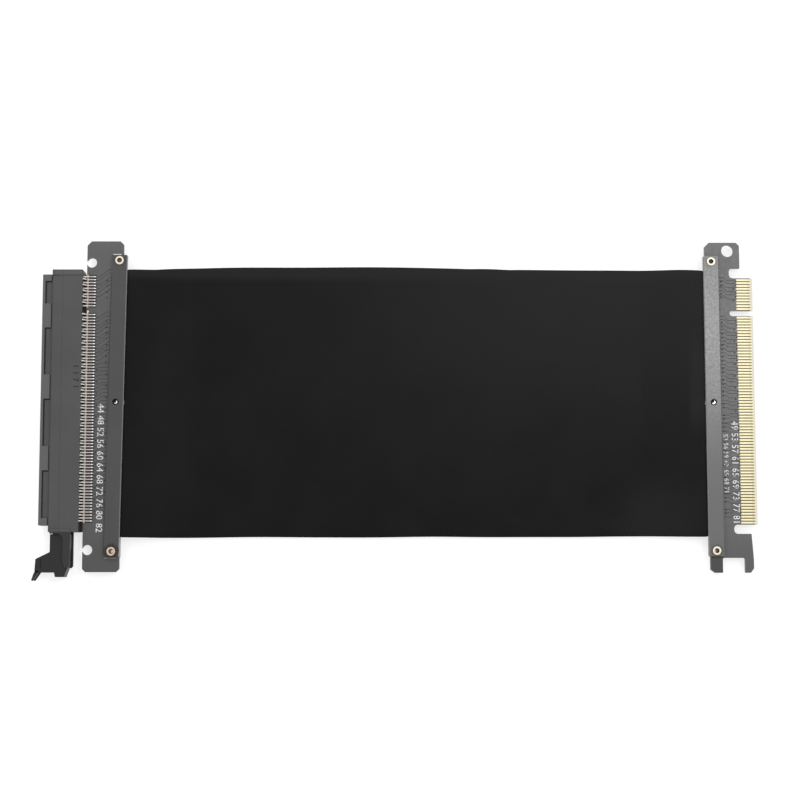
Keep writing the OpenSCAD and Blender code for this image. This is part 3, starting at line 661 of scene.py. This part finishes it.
def rows_of_cells(cells, row, name, seed, steep_until):
    """Copies of the patterns along a row: steep ones at first, and none across the key."""
    order = random.Random(seed)
    laid = []
    for i in range(0, CONTACTS - PATTERN + 1, PATTERN):
        if i <= BEFORE_KEY < i + PATTERN:
            continue
        choice = cells[:2] if i < steep_until else cells[2:]
        laid.append(copied(order.choice(choice), (0, row[i], 0)))
    for cell in cells:
        bpy.data.objects.remove(cell)
    return joined(laid, name)


class RISER_OT_tracks(bpy.types.Operator):
    """Lay the tracks and vias on both faces of both boards"""

    bl_idname = "riser.tracks"
    bl_label = "Tracks and vias"

    def execute(self, context):
        wanted = sizes("boards")
        copper = matt_paint("masked_copper", tuple(wanted.track), 0.4)
        hole = matt_paint("filled_via", tuple(wanted.hole), 0.5)
        for end, cells, x0, x1, row, seed, steep_until in (
                ("socket", socket_cells, high("socket_pads_upper").x,
                 low("socket_clamp_upper").x + 0.9 * MM, SOCKET_ROW, 3, 28),
                ("plug", plug_cells, high("plug_clamp_upper").x,
                 low("plug_fingers_upper").x, PLUG_ROW, 8, 40)):
            board = end + "_board"
            upper = rows_of_cells(cells(x0, x1, high(board).z, wanted, copper, hole), row,
                                  end + "_tracks_upper", seed, steep_until)
            lower = mirrored(upper, end + "_tracks_lower", middle(board).z)
            for obj in (upper, lower):
                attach(obj, BODY)
        return {"FINISHED"}


def matt_paint(name, colour, rough):
    """Ink or mask: a fine change of tone and of gloss."""
    finish = Finish(name, Specular_IOR_Level=0.35)
    speck = finish.noise(1200, 3)
    finish.paint(speck.step(0.3, 0.65).blend(shade(colour, 0.86), shade(colour, 1.08)))
    finish.roughen(rough + speck * 0.12)
    return finish.material


def number(text, x, y, z, height, bold=0):
    """A number that reads towards -Y, as a thin mesh. bold widens its strokes."""
    start_afresh()
    bpy.ops.object.text_add(location=(0, 0, 0))
    sign = bpy.context.object
    sign.data.body = text
    sign.data.size = height / 0.7
    sign.data.align_x = "CENTER"
    sign.data.align_y = "CENTER"
    sign.data.resolution_u = 2
    sign.data.extrude = INK_T
    sign.data.offset = bold
    bpy.ops.object.convert(target="MESH")
    sign = bpy.context.object
    sign.location = (x, y, z)
    sign.rotation_euler = (0, 0, -math.pi / 2)
    lay_down(sign)
    return sign


def contact_numbers(contacts, row, x, z, height):
    return [number(str(contact), x, row[contact - 1], z, height) for contact in contacts]


class RISER_OT_numbers(bpy.types.Operator):
    """Print plain contact numbers on the boards, and mark the housing with its contact counts"""

    bl_idname = "riser.numbers"
    bl_label = "Numbers"

    def execute(self, context):
        wanted = sizes("boards")
        ink = matt_paint("white_ink", tuple(wanted.ink), 0.55)
        height = wanted.digit_h
        z = high("plug_board").z + INK_LIFT
        signs = contact_numbers(range(49, CONTACTS, 4), PLUG_ROW,
                                low("plug_fingers_upper").x - 1.85 * MM, z, height)
        signs += contact_numbers(range(53, 73, 3), PLUG_ROW,
                                 high("plug_clamp_upper").x + 1.4 * MM, z, height * 0.7)
        carry(joined(signs, "plug_numbers"), ink)

        z = high("socket_board").z + INK_LIFT
        pads_end = high("socket_pads_upper").x
        x = pads_end + 2.1 * MM
        signs = contact_numbers(range(44, CONTACTS, 4), SOCKET_ROW, x, z, height)
        signs.append(number(str(CONTACTS), x, SOCKET_ROW[-1] - 2.3 * MM, z, height))
        bar_low, bar_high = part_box("socket_clamp_upper")
        for start, end, y, width in (
                (1.75 * MM, 4.3 * MM, bar_high.y + 0.45 * MM, 0.24 * MM),
                (0.2 * MM, 4.6 * MM, bar_low.y - 0.3 * MM, 0.08 * MM)):
            line = [(bar_low.x + start, y), (bar_low.x + end, y)]
            signs.append(track(line, width, 0.015 * MM, z))
        carry(joined(signs, "socket_numbers"), ink)

        # the digits moulded into the housing's face, painted dark as the shade in their relief
        face = high("socket_housing").z - 0.2 * MM
        x, first, apart = pads_end - 6.0 * MM, SOCKET_ROW[29], 2.3 * MM
        counts = f"{BEFORE_KEY}{CONTACTS - BEFORE_KEY}"
        digits = [number(digit, x, first - apart * i, face, height * 0.8, bold=0.07 * MM)
                  for i, digit in enumerate(counts)]
        # the dark tone painted on the digits stands in for their shade
        mark = matt_paint("moulded_mark", tone(30), 0.6)
        carry(joined(digits, "housing_number"), mark)
        return {"FINISHED"}


# ---------------------------------------------------------------- solder

class RISER_OT_solder(bpy.types.Operator):
    """Make the solder fillets round the contacts' feet, on both faces of the socket board"""

    bl_idname = "riser.solder"
    bl_label = "Solder"

    def execute(self, context):
        wanted = sizes("parts")
        pads = high("socket_pads_upper")
        start_afresh()
        bpy.ops.mesh.primitive_uv_sphere_add(segments=10, ring_count=6, radius=1)
        drop = bpy.context.object
        drop.scale = (wanted.solder_len / 2, PAD_W * 0.34, wanted.solder_h)
        drop.location = (pads.x - wanted.solder_len / 2 - 0.05 * MM, 0, pads.z)
        lay_down(drop)
        edit_all(drop)
        bpy.ops.mesh.bisect(plane_co=(0, 0, pads.z - 0.005 * MM), plane_no=(0, 0, 1),
                            use_fill=True, clear_inner=True, threshold=0.0005 * MM)
        select("FACE", lambda f: f.calc_center_median().z > pads.z + wanted.solder_h * 0.8)
        bpy.ops.transform.translate(value=(-0.25 * MM, 0, -0.03 * MM))
        object_mode()
        bpy.ops.object.shade_smooth_by_angle(angle=math.radians(50))
        upper = joined([copied(drop, (0, y, 0)) for y in SOCKET_ROW], "solder_upper")
        bpy.data.objects.remove(drop)
        lower = mirrored(upper, "solder_lower", middle("socket_board").z)
        pad = tuple(wanted.pad)
        solder = plated_metal("solder", tone(236, 232, 230), 0.4, tone(210, 204, 202), 0.8)
        for obj in (upper, lower):
            carry(obj, solder.material)
        tinned = plated_metal("tinned_pad", shade(pad, 0.35), 0.5, shade(pad, 0.2), 0.5)
        for node in ("socket_pads_upper", "socket_pads_lower"):
            dress_node(node, tinned.material)
        return {"FINISHED"}


# ---------------------------------------------------------------- finishes of the CAD nodes

def worn_band():
    """Where the fingers are worn, before their rounded ends, from and to along X."""
    end = high("plug_fingers_upper").x
    return end - 1.0 * MM, end - 0.3 * MM


class RISER_OT_plastics(bpy.types.Operator):
    """Give the housing, the latch and the clamp bars their plastics"""

    bl_idname = "riser.plastics"
    bl_label = "Plastics"

    def execute(self, context):
        wanted = sizes("parts")
        colour = tuple(wanted.housing)
        mouth, top = low("socket_housing").x, high("socket_housing")
        end = high("socket_latch").y + 0.75 * MM      # the housing's end, above the latch
        pads_start = low("socket_pads_upper").x
        board_z = middle("socket_board").z

        def housing_zones(finish):
            """Painted shade on the rib between the contacts' tails, painted highlights on the rim's
            top and on the end panel, painted shadow lines beside two steps of the moulding, and
            painted shade on the ears.
            """
            x, y, z = finish.axes()
            # painted highlight on the end panel
            panel = within(y, top.y - 1.45 * MM, top.y - 0.4 * MM) * within(
                x, mouth + 4.2 * MM, top.x - 0.5 * MM)
            # painted shadow lines beside the sloped band's fold and beside the step behind the rim
            crease_shadow = abs(x - mouth - 6.9 * MM) < 0.1 * MM
            step_shadow = abs(x - mouth - 3.5 * MM) < 0.12 * MM
            # painted highlight on the rim's top
            rim = (x < mouth + 3.2 * MM) * (z > top.z - 1.2 * MM)
            # painted shade on the rib between the contacts' tails
            rib_shade = (x > pads_start - 1.6 * MM) * (abs(z - board_z) < 0.75 * MM)
            # the last zone paints the ears beyond the housing's end darker, as shade
            return ((rib_shade, tone(14)), (rim, shade(colour, 1.5)), (panel, shade(colour, 1.22)),
                    (crease_shadow * (y > end), shade(colour, 0.72)),
                    (step_shadow * (y > end), shade(colour, 0.6)), (y < end, tuple(wanted.ear)))

        housing = moulded_plastic("housing_plastic", colour, housing_zones, rough=0.5,
                                  specular=0.3)
        dress_node("socket_housing", housing.material)
        latch = moulded_plastic("latch_plastic", tuple(wanted.latch), rough=0.45, specular=0.25)
        dress_node("socket_latch", latch.material)

        # the side on which the cable leaves, how far a bar is turned in degrees, how strong its
        # two dark rivet rings are, how pale its painted light makes it, and whether its foot gets a
        # painted highlight
        for end, cable, turn, rivet_rings, pale, lit in (
                ("socket", 1, 0.8, (0.3, 1.0), 0.96, 0), ("plug", -1, 0, (0.3, 0.4), 1.45, 1)):
            centre = middle(end + "_clamp_upper")
            lean = math.tan(math.radians(turn))
            half = 2.65 * MM

            def bar_zones(finish):
                """A painted highlight along the edge by the cable, dark rings round the rivets, a
                painted highlight over the plug bar's foot.
                """
                x, y, _ = finish.axes()
                across = x - centre.x - (y - centre.y) * lean
                blotch = finish.noise(700, 3) - 0.5
                # painted highlight over the plug bar's foot
                foot = 1 - (y - low(end + "_clamp_upper").y).step(0, 45 * MM)
                # the second zone is a painted highlight along the edge by the cable
                zones = [(foot * lit, shade(tuple(wanted.bar), pale * 1.4)),
                         (across * cable > half - 0.2 * MM, tuple(wanted.bar_edge))]
                # dark rings round the rivets
                for i, strength in enumerate(rivet_rings):
                    axis = middle(f"{end}_rivet_{i + 1}")
                    reach = from_axis(x, y, axis) + blotch * 1.4 * MM
                    ring = 1 - reach.step((1.5 + 0.5 * strength) * MM, (2.1 + strength) * MM)
                    zones.append((ring * strength, tuple(wanted.stain)))
                return zones

            # the plug's bar comes out paler than the socket's: a painted reflection of the lamp
            bar = moulded_plastic(end + "_bar_laminate", shade(tuple(wanted.bar), pale), bar_zones,
                                  grain=0.01, rough=0.25, specular=0.45)
            for node in ("upper", "lower"):
                dress_node(end + "_clamp_" + node, bar.material)
        return {"FINISHED"}


class RISER_OT_boards(bpy.types.Operator):
    """Give both boards their mask, and the bare laminate beside the contacts"""

    bl_idname = "riser.boards"
    bl_label = "Boards"

    def execute(self, context):
        wanted = sizes("boards")
        mask = tuple(wanted.mask)
        edge, pads_end = low("socket_board").x, high("socket_pads_upper").x
        key = (SOCKET_ROW[BEFORE_KEY - 1] + SOCKET_ROW[BEFORE_KEY]) / 2

        def socket_zones(finish):
            """Bare laminate by the edge, painted shade in the gaps between the pads, a darker band
            beyond their ends, and painted shade over the board's foot.
            """
            x, y, _ = finish.axes()
            # painted shade over the board's foot
            foot = 1 - (y - low("socket_clamp_upper").y).step(-1 * MM, 9 * MM)
            row = within(y, SOCKET_ROW[-1] - 0.7 * MM, SOCKET_ROW[0] + 0.7 * MM)
            row = row * (abs(y - key) > 0.9 * MM)
            # painted shade between the pads
            between = row * (x < pads_end) * (off_middle(y, SOCKET_ROW) > 0.25 * MM)
            beyond = row * within(x, pads_end, pads_end + 0.5 * MM)
            return ((foot, shade(mask, 0.68)), (beyond, shade(mask, 0.75)),
                    (between, tone(16, 12, 13)),
                    ((x < edge + 0.6 * MM) * row, tuple(wanted.strip)))

        socket = fibre_board("socket_mask", shade(mask, 0.87), socket_zones)
        dress_node("socket_board", socket.material)

        fingers_low, fingers_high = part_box("plug_fingers_upper")
        worn_start, worn_end = worn_band()
        gap = tuple(wanted.gap)

        def plug_zones(finish):
            """The bare tongue with its bevel and marks, painted shade over the foot, and a darker
            leg.
            """
            x, y, _ = finish.axes()
            tongue = within(y, fingers_low.y - 1.2 * MM, fingers_high.y + 1.2 * MM)
            tongue = tongue * (x > fingers_low.x - 0.02 * MM)
            between = off_middle(y, PLUG_ROW) > 0.3 * MM
            dots = within(x, worn_start, worn_end)
            start = within(x, fingers_low.x - 0.27 * MM, fingers_low.x) * within(
                y, fingers_low.y, fingers_high.y) * (off_middle(y, PLUG_ROW) < 0.3 * MM)
            # painted shade over the board's foot
            foot = 1 - (y - low("plug_clamp_upper").y).step(-1 * MM, 12 * MM)
            leg = (y < low("plug_clamp_upper").y) * (x < high("plug_clamp_upper").x)
            return ((foot, shade(mask, 0.78)), (leg, shade(mask, 0.27)), (tongue, gap),
                    (tongue * (x > worn_end), shade(gap, 2.4)),
                    (tongue * (x > fingers_high.x), tuple(wanted.bevel)),
                    (tongue * dots * between, shade(gap, 0.3)), (start, tone(214, 206, 184)))

        plug = fibre_board("plug_mask", mask, plug_zones)
        dress_node("plug_board", plug.material)
        return {"FINISHED"}


class RISER_OT_metals(bpy.types.Operator):
    """Give the contacts, fingers, rivets and pins their metals"""

    bl_idname = "riser.metals"
    bl_label = "Metals"

    def execute(self, context):
        wanted = sizes("parts")
        tin_colour, pad_colour, gold_colour = (
            tuple(value) for value in (wanted.tin, wanted.pad, wanted.gold))
        pads_start, edge = low("socket_pads_upper").x, low("socket_board").x

        def contact_zones(finish):
            """Painted shade on the tails' sides, a tan band over the board's edge, solder up the
            feet's sides.
            """
            x, y, _ = finish.axes()
            out = off_middle(y, SOCKET_ROW)
            # painted shade on the tails' sides
            tail_side_shade = within(x, edge - 0.7 * MM, edge - 0.15 * MM) * (out > 0.2 * MM)
            return ((tail_side_shade, tone(24)),
                    (within(x, edge - 0.15 * MM, pads_start), tone(214, 203, 188)),
                    (x > pads_start, tone(206, 198, 198)),
                    ((x > pads_start) * (out > 0.13 * MM), shade(pad_colour, 0.4)))

        def finger_zones(finish):
            """The fingers' sides, and a worn band before their rounded ends."""
            x, y, _ = finish.axes()
            worn = within(x, *worn_band())
            return ((off_middle(y, PLUG_ROW) > 0.28 * MM, shade(gold_colour, 0.4)),
                    (worn, shade(gold_colour, 0.78)))

        tin = plated_metal("contact_tin", tin_colour, 0.42, shade(tin_colour, 0.93),
                           metallic=0.2, zones=contact_zones)
        gold = plated_metal("finger_gold", gold_colour, 0.45, shade(gold_colour, 0.93),
                            metallic=0.6, zones=finger_zones)
        for end in ("upper", "lower"):
            dress_node("socket_contacts_" + end, tin.material)
            dress_node("plug_fingers_" + end, gold.material)
        copper_ring = tone(204, 184, 163)
        for end in ("socket", "plug"):
            for i in (1, 2):
                node = f"{end}_rivet_{i}"
                colour = copper_ring if node == "socket_rivet_2" else tuple(wanted.brass)

                def bore_zones(finish):
                    """The dark bore, and a shadow where the rolled rim meets the bar."""
                    x, y, _ = finish.axes()
                    reach = from_axis(x, y, middle(node))
                    return ((reach < 0.84 * MM, shade(tuple(wanted.bore), 0.5)),
                            (reach > 1.42 * MM, shade(tuple(wanted.bore), 1.3)))

                brass = plated_metal(node + "_brass", colour, 0.42, shade(colour, 0.8),
                                     zones=bore_zones)
                dress_node(node, brass.material)

            # the dark disc painted on the pin stands in for shade, off to one side
            axis = middle(end + "_centre_pin") + Vector((-0.25, 0.2, 0)) * MM

            def pin_zones(finish):
                """A painted shade: a dark disc set off the pin's middle, so that only a crescent of
                the pin stays bright.
                """
                x, y, _ = finish.axes()
                return ((from_axis(x, y, axis) < 0.52 * MM, tone(28)),)

            pin = plated_metal(end + "_pin_steel", tuple(wanted.tin), 0.3,
                               shade(tuple(wanted.tin), 0.85), zones=pin_zones)
            dress_node(end + "_centre_pin", pin.material)
        return {"FINISHED"}


# ---------------------------------------------------------------- stage

def softbox(name, place, aim, size, watts):
    lamp = bpy.data.lights.new(name, "AREA")
    lamp.size = size
    lamp.energy = watts
    obj = bpy.data.objects.new(name, lamp)
    obj.location = place
    obj.rotation_euler = (Vector(place) - Vector(aim)).to_track_quat("Z", "Y").to_euler()
    bpy.context.collection.objects.link(obj)


def seen_directly(tree):
    """1 for the camera and for what metal and clear pieces show of a surface, 0 for its light."""
    path = tree.nodes.new("ShaderNodeLightPath")
    camera, glossy, through = (Wire(tree, path.outputs[f"Is {kind} Ray"])
                               for kind in ("Camera", "Glossy", "Transmission"))
    return camera.math("MAXIMUM", glossy).math("MAXIMUM", through)


class RISER_OT_stage(bpy.types.Operator):
    """Set up the floor, the world, the lamps and the camera"""

    bl_idname = "riser.stage"
    bl_label = "Stage"

    def execute(self, context):
        wanted = sizes("stage")
        scene = context.scene
        scene.view_settings.view_transform = "Standard"

        start_afresh()
        bpy.ops.mesh.primitive_plane_add(size=6, location=(0, 0, -0.0002))
        floor = bpy.context.object
        floor.name = floor.data.name = "floor"
        paper = bpy.data.materials.new("pale_floor")
        paper.use_nodes = True
        tree = paper.node_tree
        tree.nodes.remove(tree.nodes["Principled BSDF"])
        seen = seen_directly(tree)
        glow = seen.node("ShaderNodeEmission", {"Color": (1, 1, 1, 1), "Strength": seen * 0.68})
        matt = seen.node("ShaderNodeBsdfDiffuse", {"Color": (0.46, 0.46, 0.46, 1)})
        both = seen.node("ShaderNodeAddShader", {0: glow, 1: matt})
        both.feed(tree.nodes["Material Output"].inputs["Surface"])
        dress(floor, paper)

        world = bpy.data.worlds.new("studio")
        scene.world = world
        world.use_nodes = True
        tree = world.node_tree
        tree.nodes.clear()
        seen = seen_directly(tree)
        sky = seen.node("ShaderNodeBackground",
                        {"Color": seen.blend((0.8, 0.8, 0.8, 1), (1, 1, 1, 1))})
        sky.feed(tree.nodes.new("ShaderNodeOutputWorld").inputs["Surface"])

        softbox("key", (0.256, 0.15, 0.8), (0.05, 0.02, 0), 0.1, 0.95)
        softbox("fill", (-0.35, 0.5, 0.7), (0, 0, 0), 0.5, 2.0)

        aim = Vector((1.1, 3.25, 4)) * MM
        camera = bpy.data.objects.new("camera", bpy.data.cameras.new("camera"))
        context.collection.objects.link(camera)
        turn = Matrix.Rotation(wanted.tilt, 3, "X") @ Matrix.Rotation(-wanted.lean, 3, "Y")
        camera.rotation_euler = turn.to_euler()
        camera.location = aim + turn @ Vector((0, 0, wanted.distance))
        camera.data.lens = wanted.lens
        camera.data.sensor_width = 36
        camera.data.clip_start, camera.data.clip_end = 0.01, 20
        scene.camera = camera
        return {"FINISHED"}


class RISER_PT_panel(bpy.types.Panel):
    """Sizes, colours and pieces of the riser card"""

    bl_idname = "RISER_PT_panel"
    bl_label = "Riser card"
    bl_space_type = "VIEW_3D"
    bl_region_type = "UI"
    bl_category = "Riser"

    def draw(self, context):
        layout = self.layout
        for group, operators in PANEL:
            box = layout.box()
            box.label(text=group.capitalize())
            settings = sizes(group)
            for key in settings.bl_rna.properties.keys():
                if key not in ("rna_type", "name"):
                    box.prop(settings, key)
            for operator in operators:
                box.operator(operator.bl_idname)


PANEL = (
    ("film", (RISER_OT_film,)),
    ("boards", (RISER_OT_boards, RISER_OT_tracks, RISER_OT_numbers)),
    ("parts", (RISER_OT_plastics, RISER_OT_metals, RISER_OT_solder)),
    ("stage", (RISER_OT_stage,)),
)
GROUPS = {"film": RISER_PG_film, "boards": RISER_PG_boards, "parts": RISER_PG_parts,
          "stage": RISER_PG_stage}
CLASSES = (*GROUPS.values(), *[o for _, row in PANEL for o in row], RISER_PT_panel)


def register():
    for made in CLASSES:
        bpy.utils.register_class(made)
    for name, group in GROUPS.items():
        setattr(bpy.types.Scene, "riser_" + name, bpy.props.PointerProperty(type=group))


def unregister():
    for name in GROUPS:
        delattr(bpy.types.Scene, "riser_" + name)
    for made in reversed(CLASSES):
        bpy.utils.unregister_class(made)


def main():
    register()
    bpy.ops.riser.stage()
    bpy.ops.riser.plastics()
    bpy.ops.riser.metals()
    bpy.ops.riser.boards()
    bpy.ops.riser.film()
    bpy.ops.riser.tracks()
    bpy.ops.riser.numbers()
    bpy.ops.riser.solder()
    start_afresh()


if __name__ == "__main__":
    main()
